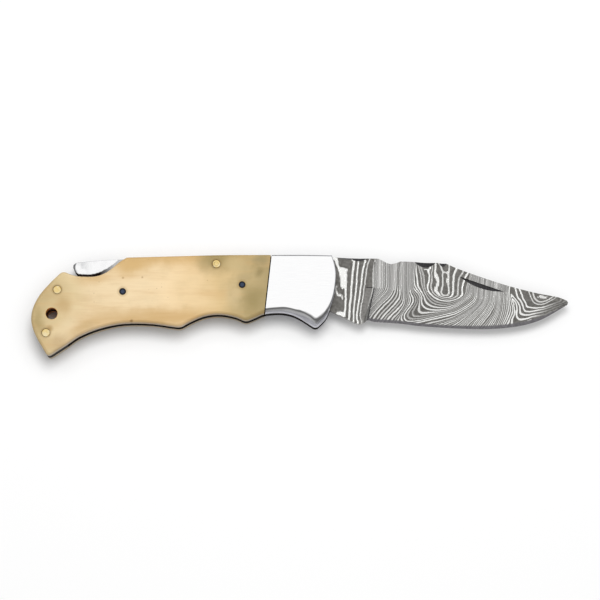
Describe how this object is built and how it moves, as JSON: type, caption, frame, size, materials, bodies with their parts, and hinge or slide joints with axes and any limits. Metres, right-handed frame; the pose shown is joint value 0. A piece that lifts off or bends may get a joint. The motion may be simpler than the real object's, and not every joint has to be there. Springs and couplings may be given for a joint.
{
  "type": "folding pocket knife",
  "caption": "Lockback folding knife with a clip-point blade, bolsters, contoured bone scales and a rocking lock bar along its back, shown open.",
  "frame": {"origin": "where the blade's pivot axis meets the outer face of the back bolster, on which the knife lies", "axes": "+X from the pivot along the open blade to its point, +Y towards the spine, +Z through the thickness from the back face to the front face"},
  "size_m": [0.2031, 0.0381, 0.013],
  "materials": {
    "pattern_steel": "pattern-welded steel, etched dark with bright lines",
    "polished_steel": "mirror-polished steel",
    "spring_steel": "ground steel",
    "bone": "smooth polished bone, cream to amber",
    "brass": "turned and ground flush",
    "bronze": "thin bronze sheet",
    "blackened": "blackened steel, ground flush"
  },
  "bodies": {
    "handle": {"scale_front": "bone", "scale_back": "bone", "bolster_front": "polished_steel", "bolster_back": "polished_steel", "liner_front": "spring_steel", "liner_back": "spring_steel", "butt_spacer": "spring_steel", "butt_pin_upper": "brass", "butt_pin_lower": "brass", "lock_bar_pin": "brass", "blade_pivot_pin": "spring_steel", "pivot_washer_front": "bronze", "pivot_washer_back": "bronze", "lock_spring": "spring_steel", "scale_pin_rear_front": "blackened", "scale_pin_rear_back": "blackened", "scale_pin_forward_front": "blackened", "scale_pin_forward_back": "blackened", "bolster_rivet_upper_front": "spring_steel", "bolster_rivet_upper_back": "spring_steel", "bolster_rivet_lower_front": "spring_steel", "bolster_rivet_lower_back": "spring_steel"},
    "blade": {"blade": "pattern_steel"},
    "lock_bar": {"lock_bar": "polished_steel"}
  },
  "joints": [
    {"name": "blade_fold", "type": "hinge", "parent": "handle", "child": "blade", "pos_m": [0, 0, 0.0065], "axis": [0, 0, -1], "range_deg": [0, 169]},
    {"name": "lock_bar_rock", "type": "hinge", "parent": "handle", "child": "lock_bar", "pos_m": [-0.0377, 0.00985, 0.0065], "axis": [0, 0, 1], "range_deg": [0, 4], "stiffness_Nm_per_rad": 3, "springref_deg": -11.46, "deforming": ["lock_spring"]}
  ]
}
